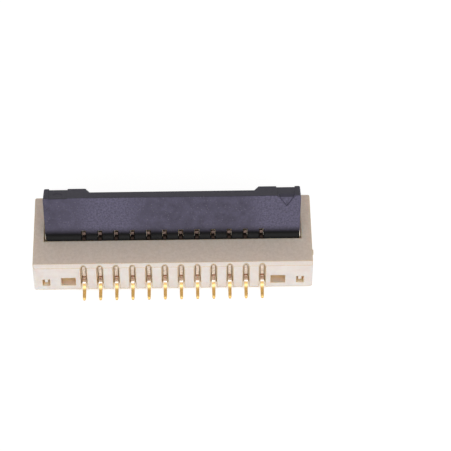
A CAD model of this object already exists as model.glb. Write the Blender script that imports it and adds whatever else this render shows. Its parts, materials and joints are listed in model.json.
# %% [markdown]
# # A 12-way connector for flat flexible cable
# The real thing is 17 mm long: an ivory moulded housing, twelve gold-plated contacts blanked
# from strip, two tinned hold-down fittings and a black actuator that flips down on the cable.
# All the rigid pieces already exist as exact solids, so this lesson is about finish: what each
# material is, how it was made, and what that does to light at this small size.

# %% The frame
import json
import math

import bpy
from mathutils import Matrix, Vector


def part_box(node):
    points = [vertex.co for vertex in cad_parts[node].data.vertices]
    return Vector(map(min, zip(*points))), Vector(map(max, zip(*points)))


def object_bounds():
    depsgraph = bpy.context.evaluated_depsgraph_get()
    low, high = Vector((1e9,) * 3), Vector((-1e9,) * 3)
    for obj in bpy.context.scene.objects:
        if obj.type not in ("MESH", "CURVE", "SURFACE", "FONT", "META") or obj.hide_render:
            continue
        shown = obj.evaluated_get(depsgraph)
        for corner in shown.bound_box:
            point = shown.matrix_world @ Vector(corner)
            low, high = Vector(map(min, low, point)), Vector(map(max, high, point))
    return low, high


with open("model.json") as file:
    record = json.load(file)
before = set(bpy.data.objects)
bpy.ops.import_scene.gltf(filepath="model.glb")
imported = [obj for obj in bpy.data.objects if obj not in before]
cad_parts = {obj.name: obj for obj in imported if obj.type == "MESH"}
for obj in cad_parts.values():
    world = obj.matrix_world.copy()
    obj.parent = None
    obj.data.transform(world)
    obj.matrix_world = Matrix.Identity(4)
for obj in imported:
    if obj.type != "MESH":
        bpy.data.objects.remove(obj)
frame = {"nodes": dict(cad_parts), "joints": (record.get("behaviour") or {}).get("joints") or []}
solid_low, solid_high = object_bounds()
MM = 0.001
print("solids span", [round(v / MM, 2) for v in solid_high - solid_low], "mm")

# %% [markdown]
# ## Camera
# The connector is seen from its solder-tail side, from half-way up. A camera can be turned by
# hand until the view looks right. Here it is set up in steps that each mean something: look at
# a point, step back, level the horizon. The lens is long and stands far away, which keeps the
# short pins in line with each other; a wide lens close by would fan them out.

# %% The camera
def stand_off(thing, point, azimuth, elevation, distance, roll=0):
    """Stands a camera or a lamp off from a point and turns it to face that. The angles are in
    degrees: azimuth 0 looks along +Y, elevation 0 is level, and roll tips the horizon."""
    turn = (Matrix.Rotation(math.radians(azimuth), 4, "Z")
            @ Matrix.Rotation(math.pi / 2 - math.radians(elevation), 4, "X")
            @ Matrix.Rotation(math.radians(roll), 4, "Z"))
    thing.matrix_world = Matrix.Translation(point) @ turn @ Matrix.Translation((0, 0, distance))


scene = bpy.context.scene
scene.view_settings.view_transform = "Standard"
bpy.ops.object.camera_add()
camera = bpy.context.object
camera.data.lens = 184.1          # this and the sensor's width are in millimetres
camera.data.sensor_width = 36
camera.data.clip_start = 1 * MM
camera.data.clip_end = 10
housing_low, housing_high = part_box("housing")
# the connector stands left of the picture's middle and a little below it
picture_middle = Vector((3.33 * MM, 2.32 * MM, housing_low.z))
stand_off(camera, picture_middle, azimuth=-1.28, elevation=50.47, distance=146.4 * MM, roll=0.22)
scene.camera = camera
print("camera at", [round(v / MM, 1) for v in camera.matrix_world.translation], "mm")

# %% [markdown]
# ## Light
# A small product is lit on a white sweep with one wide softbox in front, low enough that the
# upright faces come out brighter than the top. Smaller boxes behind and at the sides keep the
# far faces readable. A sun or a point lamp would be simpler, but only a lamp with a size gives
# soft shadows and wide, quiet highlights on metal, so each box is an area lamp. The powers are
# set so that a surface that faces the front softbox shows about the colour that its
# material names.

# %% Lamps
SOFTBOXES = {   # azimuth and elevation in degrees, width and height in millimetres, watts
    "front_softbox": (4, 25, 420, 260, 0.8),
    "back_softbox": (180, 50, 220, 70, 0.05),
    "left_softbox": (-90, 15, 120, 70, 0.12),
    "right_softbox": (90, 15, 120, 70, 0.12),
}
LAMP_DISTANCE = 300 * MM
housing_middle = (housing_low + housing_high) / 2
for name, (azimuth, elevation, width, height, power) in SOFTBOXES.items():
    lamp = bpy.data.lights.new(name, "AREA")
    lamp.shape = "RECTANGLE"
    lamp.size = width * MM
    lamp.size_y = height * MM
    lamp.energy = power
    holder = bpy.data.objects.new(name, lamp)
    scene.collection.objects.link(holder)
    stand_off(holder, housing_middle, azimuth, elevation, LAMP_DISTANCE)
print("lit by", ", ".join(SOFTBOXES))

# %% [markdown]
# ## Node helpers
# Every finish below is a node tree. Such a tree can be drawn in the Shader Editor; written as
# code, it can be read from top to bottom. One function adds a node with its settings and
# links, and one turns the sRGB hex values that paint charts use into the linear numbers that
# light needs.

# %% Helpers for materials
def linear(hex_colour):
    """sRGB hex, such as "ece4da", to linear red, green, blue and alpha."""
    def channel(value):
        return value / 12.92 if value <= 0.04045 else ((value + 0.055) / 1.055) ** 2.4
    parts = [int(hex_colour[i:i + 2], 16) / 255 for i in (0, 2, 4)]
    return (*[channel(part) for part in parts], 1)


def node(tree, kind, settings=None, **inputs):
    """Adds a node. Inputs are named with _ for a space, or i and a number for a socket's place."""
    made = tree.nodes.new("ShaderNode" + kind)
    for name, value in (settings or {}).items():
        setattr(made, name, value)
    for name, value in inputs.items():
        key = int(name[1:]) if name[0] == "i" and name[1:].isdigit() else name.replace("_", " ")
        if isinstance(value, bpy.types.NodeSocket):
            tree.links.new(value, made.inputs[key])
        else:
            made.inputs[key].default_value = value
    return made


def tell(made):
    """Prints how large the tree of a material or a world has become."""
    print("made", made.name, "from", len(made.node_tree.nodes), "nodes")


print("mid grey 808080 is", round(linear("808080")[0], 3), "in linear light")

# %% [markdown]
# ## World
# The room sends a weak warm light from every side. A picture of a real room could give it, but
# nothing here is shiny enough to show one, so a single tone does. Rays from the camera, and
# those that bounce off shiny metal, find white there instead, like the sweep round the part.

# %% World
COLOURS = {"data_type": "RGBA"}     # a Mix of colours: i0 is the share, i6 the first, i7 the second
WHITE = (1, 1, 1, 1)
WARM_ROOM = (0.21, 0.197, 0.186, 1)


def seen_rays(tree):
    """1 for the rays that should meet a white background: camera, glossy and transmission."""
    rays = node(tree, "LightPath")
    either = node(tree, "Math", {"operation": "MAXIMUM"},
                  i0=rays.outputs["Is Camera Ray"], i1=rays.outputs["Is Glossy Ray"])
    return node(tree, "Math", {"operation": "MAXIMUM"},
                i0=either.outputs[0], i1=rays.outputs["Is Transmission Ray"]).outputs[0]


world = bpy.data.worlds.new("warm_dome")
scene.world = world
world.use_nodes = True
dome_tree = world.node_tree
dome_tree.nodes.clear()
tint = node(dome_tree, "Mix", COLOURS, i0=seen_rays(dome_tree), i6=WARM_ROOM, i7=WHITE)
dome = node(dome_tree, "Background", Color=tint.outputs[2], Strength=1.0)
node(dome_tree, "OutputWorld", Surface=dome.outputs[0])
tell(world)

# %% [markdown]
# ## Floor
# A sheet of matt white card. A plain white plane would catch the shadow, but it would come out
# grey. The camera and shiny metal should see clean white, yet the connector has to leave its
# shadow. So for those rays the card is a blend of a plain white glow and the lit card itself:
# the glow keeps it white, the card keeps the shadow. Ambient Occlusion warms and dims the glow
# where the card is shut in, as under the housing.

# %% White card
SOFT = {"interpolation_type": "SMOOTHSTEP"}          # a Map Range that eases in and out
GLOW_SHARE = 0.72
IN_THE_OPEN = {"From_Min": 0.05, "From_Max": 0.3}    # how open a spot is, from shut in to clear


def new_material(name):
    """An empty node material, and its tree."""
    material = bpy.data.materials.new(name)
    material.use_nodes = True
    material.node_tree.nodes.clear()
    return material, material.node_tree


def white_card():
    material, tree = new_material("white_card")
    share = node(tree, "Math", {"operation": "MULTIPLY"}, i0=seen_rays(tree), i1=GLOW_SHARE)
    shut = node(tree, "AmbientOcclusion", {"samples": 8}, Distance=0.6 * MM)
    free = node(tree, "MapRange", SOFT, Value=shut.outputs["AO"], **IN_THE_OPEN)
    shade = node(tree, "Mix", COLOURS, i0=free.outputs[0], i6=linear("c9b088"), i7=WHITE)
    card = node(tree, "BsdfDiffuse", Color=linear("f4f4f4"))
    glow = node(tree, "Emission", Color=shade.outputs[2], Strength=1.26)
    blend = node(tree, "MixShader", Fac=share.outputs[0], i1=card.outputs[0], i2=glow.outputs[0])
    node(tree, "OutputMaterial", Surface=blend.outputs[0])
    return material


bpy.ops.object.select_all(action="DESELECT")
bpy.ops.mesh.primitive_plane_add(size=2, location=(0, 0, solid_low.z))
floor = bpy.context.object
floor.name = "white_card"
floor.data.materials.append(white_card())
tell(floor.active_material)

# %% [markdown]
# ## Ivory housing
# The housing is moulded in liquid-crystal polymer filled with glass. The melt freezes as it
# flows, which leaves faint clouds and flow lines and a satin skin. The plastic lets light in
# for a few tenths of a millimetre, so thin walls and edges glow, and slots look tan and not
# grey. A flat colour would make it look like paper, and a painted texture would have to follow
# every slot. Subsurface scattering gives the glow instead, and two nodes find the places by
# themselves: Bevel finds the edges, and Ambient Occlusion finds the slots.

# %% Liquid-crystal polymer
TO_MM = (1 / MM, 1 / MM, 1 / MM)
# a noise stays near its middle, so a Map Range stretches a part of it to run from 0 to 1
FINE_NOISE = {"From_Min": 0.3, "From_Max": 0.7}
BROAD_NOISE = {"From_Min": 0.35, "From_Max": 0.65}
FACES_UP = {"From_Min": 0.6, "From_Max": 0.95}       # how far up a face looks, 1 for straight up
IN_A_SLOT = {"From_Min": 0.38, "From_Max": 0.15}     # how open a spot is, from clear to shut in
AT_AN_EDGE = {"From_Min": 0.999, "From_Max": 0.96}   # how well a face agrees with its rounded self


def in_millimetres(tree):
    """The place on the piece, counted in millimetres from the frame's origin."""
    place = node(tree, "TexCoord")
    return node(tree, "Mapping", Vector=place.outputs["Object"], Scale=TO_MM).outputs[0]


def lcp_moulded():
    material, tree = new_material("lcp_moulded_ivory")
    mm = in_millimetres(tree)
    # the clouds are about 0.6 mm wide; the skin's own grain is finer than 0.05 mm and is drawn
    # 0.17 mm wide, so that it shows
    clouds = node(tree, "TexNoise", Vector=mm, Scale=1.6, Detail=3.0, Roughness=0.6)
    grain = node(tree, "TexNoise", Vector=mm, Scale=6.0, Detail=4.0, Roughness=0.7)
    cloudy = node(tree, "MapRange", SOFT, Value=clouds.outputs[0], **BROAD_NOISE)
    upright = node(tree, "Mix", COLOURS, i0=cloudy.outputs[0],
                   i6=linear("e6dcd6"), i7=linear("eae3de"))
    specks = node(tree, "MapRange", SOFT, Value=grain.outputs[0], **FINE_NOISE)
    tanned = node(tree, "Mix", COLOURS, i0=specks.outputs[0],
                  i6=linear("dbccbe"), i7=linear("e7d9cd"))
    # the oven's heat comes from above, so faces that look up have tanned a little
    flat = node(tree, "NewGeometry")
    facing = node(tree, "SeparateXYZ", Vector=flat.outputs["Normal"])
    upward = node(tree, "MapRange", SOFT, Value=facing.outputs["Z"], **FACES_UP)
    grained = node(tree, "Mix", COLOURS, i0=upward.outputs[0],
                   i6=upright.outputs[2], i7=tanned.outputs[2])
    # light that has been inside the plastic comes out tan: slots and inner corners
    shut = node(tree, "AmbientOcclusion", {"samples": 8}, Distance=1.0 * MM)
    depth = node(tree, "MapRange", SOFT, Value=shut.outputs["AO"], **IN_A_SLOT)
    warm = node(tree, "Mix", COLOURS, i0=depth.outputs[0],
                i6=grained.outputs[2], i7=linear("f6d8a4"))
    # sharp edges let out more of that light
    soft = node(tree, "Bevel", {"samples": 8}, Radius=0.08 * MM)
    same = node(tree, "VectorMath", {"operation": "DOT_PRODUCT"},
                i0=soft.outputs[0], i1=flat.outputs["Normal"])
    edge = node(tree, "MapRange", SOFT, Value=same.outputs["Value"], **AT_AN_EDGE)
    toned = node(tree, "Mix", COLOURS, i0=edge.outputs[0],
                 i6=warm.outputs[2], i7=linear("d4ba94"))
    skin = node(tree, "Bump", Strength=0.1, Distance=0.01 * MM, Height=grain.outputs[0])
    rough = node(tree, "MapRange", SOFT, Value=grain.outputs[0],
                 **FINE_NOISE, To_Min=0.5, To_Max=0.62)
    shader = node(tree, "BsdfPrincipled", Base_Color=toned.outputs[2],
                  Roughness=rough.outputs[0], IOR=1.6, Subsurface_Weight=0.5,
                  Subsurface_Radius=(1.0, 0.7, 0.5), Subsurface_Scale=0.6 * MM,
                  Normal=skin.outputs[0])
    node(tree, "OutputMaterial", Surface=shader.outputs[0])
    return material


ivory_polymer = lcp_moulded()
tell(ivory_polymer)

# %% [markdown]
# ## Black actuator
# The flap is moulded in glass-filled nylon from a tool with two finishes. Its outer face copies
# an etched wall: slightly blue-grey, blotchy, with single glass fibres that catch the light.
# Its barrel and waist copy a polished core pin, so they stay nearly black. Two materials could
# show that, but the change is soft and lies at a fixed distance from the hinge. So one material
# measures that distance in the flap's own directions, and the pattern turns with the flap.

# %% Glass-filled nylon
ETCHED = {"From_Min": 0.5, "From_Max": 1.3}          # millimetres from the hinge
BLOTCHED = {"From_Min": 0.36, "From_Max": 0.66}
STREAKED = {"From_Min": 0.42, "From_Max": 0.58}
ON_A_FIBRE = {"From_Min": 0.2, "From_Max": 0.05}     # distance to a fibre, in spacings of them
FACES_AWAY = {"From_Min": 0.6, "From_Max": 0.9}      # how much a face looks away from the hinge


def nylon_moulded():
    material, tree = new_material("nylon_glass_filled_black")
    hinge = frame["joints"][0]
    closed = -math.radians(hinge["range_deg"][0])
    place = node(tree, "TexCoord")
    # Y runs from the hinge to the flap's tip and Z out of its outer face, in millimetres
    along = node(tree, "Mapping", {"vector_type": "TEXTURE"}, Vector=place.outputs["Object"],
                 Location=hinge["pos_m"], Rotation=(closed, 0, 0), Scale=(MM, MM, MM))
    mm = along.outputs[0]
    parts = node(tree, "SeparateXYZ", Vector=mm)
    etched = node(tree, "MapRange", SOFT, Value=parts.outputs["Y"], **ETCHED)
    # the melt leaves paler streaks some 6 mm wide, which run from the hinge to the tip; the
    # Location slides them along the flap
    flow = node(tree, "Mapping", Vector=mm, Location=(4.7, 9.0, 0), Scale=(1, 0.25, 0.25))
    flows = node(tree, "TexNoise", Vector=flow.outputs[0], Scale=0.16, Detail=1.0)
    # the blotches are 0.6 mm wide and the etched grain is 0.11 mm; the fibres are 0.01 mm thick
    # and are drawn about 0.04 mm thick, so that they show
    blotches = node(tree, "TexNoise", Vector=mm, Scale=1.6, Detail=3.0, Roughness=0.6)
    grain = node(tree, "TexNoise", Vector=mm, Scale=9.0, Detail=3.0, Roughness=0.7)
    fibres = node(tree, "TexVoronoi", {"feature": "F1"}, Vector=mm, Scale=6.0, Randomness=1.0)
    fibre = node(tree, "MapRange", SOFT, Value=fibres.outputs["Distance"], **ON_A_FIBRE)
    blotchy = node(tree, "MapRange", SOFT, Value=blotches.outputs[0], **BLOTCHED)
    cloth = node(tree, "Mix", COLOURS, i0=blotchy.outputs[0],
                 i6=linear("403c4e"), i7=linear("555167"))
    streaky = node(tree, "MapRange", SOFT, Value=flows.outputs[0], **STREAKED)
    paler = node(tree, "Mix", COLOURS, i0=streaky.outputs[0],
                 i6=cloth.outputs[2], i7=linear("65617a"))
    speckled = node(tree, "MapRange", SOFT, Value=grain.outputs[0], **FINE_NOISE)
    grained = node(tree, "Mix", COLOURS, i0=speckled.outputs[0],
                   i6=linear("4c4959"), i7=paler.outputs[2])
    flecked = node(tree, "Mix", COLOURS, i0=fibre.outputs[0],
                   i6=grained.outputs[2], i7=linear("726e7a"))
    # the tip copies the tool's other half, which is smoother and looks darker
    turned = node(tree, "Mapping", {"vector_type": "TEXTURE"}, Vector=place.outputs["Normal"],
                  Rotation=(closed, 0, 0))
    faces = node(tree, "SeparateXYZ", Vector=turned.outputs[0])
    tip = node(tree, "MapRange", SOFT, Value=faces.outputs["Y"], **FACES_AWAY)
    tipped = node(tree, "Mix", COLOURS, i0=tip.outputs[0],
                  i6=flecked.outputs[2], i7=linear("403e49"))
    # the core pin leaves a nearly black skin near the hinge
    colour = node(tree, "Mix", COLOURS, i0=etched.outputs[0],
                  i6=linear("121212"), i7=tipped.outputs[2])
    soft = node(tree, "Bevel", {"samples": 8}, Radius=0.09 * MM)
    depth = node(tree, "Math", {"operation": "MULTIPLY"}, i0=grain.outputs[0], i1=etched.outputs[0])
    skin = node(tree, "Bump", Strength=0.5, Distance=0.02 * MM,
                Height=depth.outputs[0], Normal=soft.outputs[0])
    shader = node(tree, "BsdfPrincipled", Base_Color=colour.outputs[2], Roughness=0.6, IOR=1.53,
                  Specular_IOR_Level=0.2, Normal=skin.outputs[0])
    node(tree, "OutputMaterial", Surface=shader.outputs[0])
    return material


black_nylon = nylon_moulded()
tell(black_nylon)

# %% [markdown]
# ## Plated contacts
# The contacts are blanked from phosphor bronze strip and stand on edge, so what shows from
# above is the sheared edge, which is matt and slightly torn. They are plated after blanking, in
# zones: gold on the solder tails and on the beams that touch the cable, paler nickel up the
# rear legs, and nothing on the hooks or on the band where the carrier strip is cut off. Each
# zone could be a set of faces with a metal of its own, but the baths leave soft borders. So one
# material measures the height above the board and the place along the contact, and mixes
# the metals by them.

# %% Gold over nickel
# borders of the zones, in millimetres above the board
THINNER_GOLD = {"From_Min": 0.18, "From_Max": 0.42}
BELOW_THE_GOLD_LINE = {"From_Min": 0.66, "From_Max": 0.52}
ABOVE_THE_CUT = {"From_Min": 0.74, "From_Max": 0.8}
BELOW_THE_CUT = {"From_Min": 0.97, "From_Max": 0.92}
DOWN_IN_THE_SLOT = {"From_Min": 2.4, "From_Max": 2.1}
# and in millimetres from the middle of the housing towards the cable's mouth
PAST_THE_LEG = {"From_Min": -1.1, "From_Max": -0.8}
AT_THE_MOUTH = {"From_Min": 1.5, "From_Max": 1.8}
SHUT_IN = {"From_Min": 0.6, "From_Max": 0.2}         # how open a spot is, from clear to shut in


def gold_plated():
    material, tree = new_material("bronze_plated_nickel_gold")
    mm = in_millimetres(tree)
    # a sheared edge is torn about every 0.05 mm, drawn as 0.17 mm, so that it shows
    tears = node(tree, "TexNoise", Vector=mm, Scale=6.0, Detail=3.0, Roughness=0.6)
    parts = node(tree, "SeparateXYZ", Vector=mm)
    low = node(tree, "MapRange", SOFT, Value=parts.outputs["Z"], **BELOW_THE_GOLD_LINE)
    front = node(tree, "MapRange", SOFT, Value=parts.outputs["Y"], **AT_THE_MOUTH)
    dipped = node(tree, "Math", {"operation": "MAXIMUM"}, i0=low.outputs[0], i1=front.outputs[0])
    torn = node(tree, "MapRange", SOFT, Value=tears.outputs[0], **BROAD_NOISE)
    # the tails hang deepest in the bath, so the gold is thickest and deepest in colour there
    thin = node(tree, "MapRange", SOFT, Value=parts.outputs["Z"], **THINNER_GOLD)
    gold = node(tree, "Mix", COLOURS, i0=thin.outputs[0],
                i6=linear("d2ae6c"), i7=linear("dcc48e"))
    nickel = node(tree, "Mix", COLOURS, i0=torn.outputs[0],
                  i6=linear("d4c8bc"), i7=linear("eee6de"))
    # the carrier strip is cut off after plating, which leaves a band of bare bronze
    above = node(tree, "MapRange", SOFT, Value=parts.outputs["Z"], **ABOVE_THE_CUT)
    below = node(tree, "MapRange", SOFT, Value=parts.outputs["Z"], **BELOW_THE_CUT)
    cut = node(tree, "Math", {"operation": "MULTIPLY"}, i0=above.outputs[0], i1=below.outputs[0])
    sheared = node(tree, "Mix", COLOURS, i0=cut.outputs[0],
                   i6=nickel.outputs[2], i7=linear("9a745e"))
    plate = node(tree, "Mix", COLOURS, i0=dipped.outputs[0],
                 i6=sheared.outputs[2], i7=gold.outputs[2])
    # from the hooks to the cable mouth the bronze stays bare, and dull bronze is brown
    inner = node(tree, "MapRange", SOFT, Value=parts.outputs["Y"], **PAST_THE_LEG)
    hooked = node(tree, "Math", {"operation": "SUBTRACT"}, i0=inner.outputs[0], i1=front.outputs[0])
    shut = node(tree, "AmbientOcclusion", {"samples": 8}, Distance=0.4 * MM)
    dim = node(tree, "MapRange", SOFT, Value=shut.outputs["AO"], **SHUT_IN)
    sunk = node(tree, "MapRange", SOFT, Value=parts.outputs["Z"], **DOWN_IN_THE_SLOT)
    dark = node(tree, "Math", {"operation": "MAXIMUM"}, i0=dim.outputs[0], i1=sunk.outputs[0])
    bronze = node(tree, "Mix", COLOURS, i0=dark.outputs[0],
                  i6=linear("74625a"), i7=linear("1d1613"))
    colour = node(tree, "Mix", COLOURS, i0=hooked.outputs[0],
                  i6=plate.outputs[2], i7=bronze.outputs[2])
    skin = node(tree, "Bump", Strength=0.05, Distance=0.01 * MM, Height=tears.outputs[0])
    rough = node(tree, "MapRange", SOFT, Value=tears.outputs[0],
                 **FINE_NOISE, To_Min=0.46, To_Max=0.54)
    shader = node(tree, "BsdfPrincipled", Base_Color=colour.outputs[2], Metallic=1.0,
                  Roughness=rough.outputs[0], Normal=skin.outputs[0])
    node(tree, "OutputMaterial", Surface=shader.outputs[0])
    return material


plated_bronze = gold_plated()
tell(plated_bronze)

# %% [markdown]
# ## Tinned fittings
# The hold-down fittings are brass with matt tin, which solders well. Matt tin has fine
# crystals that scatter light, so it looks pale grey, with no clear reflections. A bump map
# could draw the crystals, but only slivers of the plates show. So it is enough that one
# noise varies the colour and the roughness.

# %% Matt tin
def tin_plated():
    material, tree = new_material("brass_matt_tinned")
    mm = in_millimetres(tree)
    # the crystals are under 0.01 mm wide and are drawn 0.11 mm wide, so that they show
    crystals = node(tree, "TexNoise", Vector=mm, Scale=9.0, Detail=3.0, Roughness=0.6)
    colour = node(tree, "Mix", COLOURS, i0=crystals.outputs[0],
                  i6=linear("dedcd8"), i7=linear("efeeec"))
    rough = node(tree, "MapRange", SOFT, Value=crystals.outputs[0],
                 **FINE_NOISE, To_Min=0.38, To_Max=0.52)
    shader = node(tree, "BsdfPrincipled", Base_Color=colour.outputs[2], Metallic=1.0,
                  Roughness=rough.outputs[0])
    node(tree, "OutputMaterial", Surface=shader.outputs[0])
    return material


tinned_brass = tin_plated()
tell(tinned_brass)

# %% [markdown]
# ## Putting the finishes on
# The solids keep their shape: only the material in their slot changes. Every contact could have
# a material of its own, but all twelve come off one strip. So each finish is made once and
# shared by every piece that has it.

# %% Finishes on the solids
FINISHES = {"housing": ivory_polymer, "actuator": black_nylon,
            "contact": plated_bronze, "fitting": tinned_brass}
for name, solid in frame["nodes"].items():
    solid.data.materials.clear()
    solid.data.materials.append(FINISHES[name.split("_")[0]])
print("finished", len(frame["nodes"]), "solids")
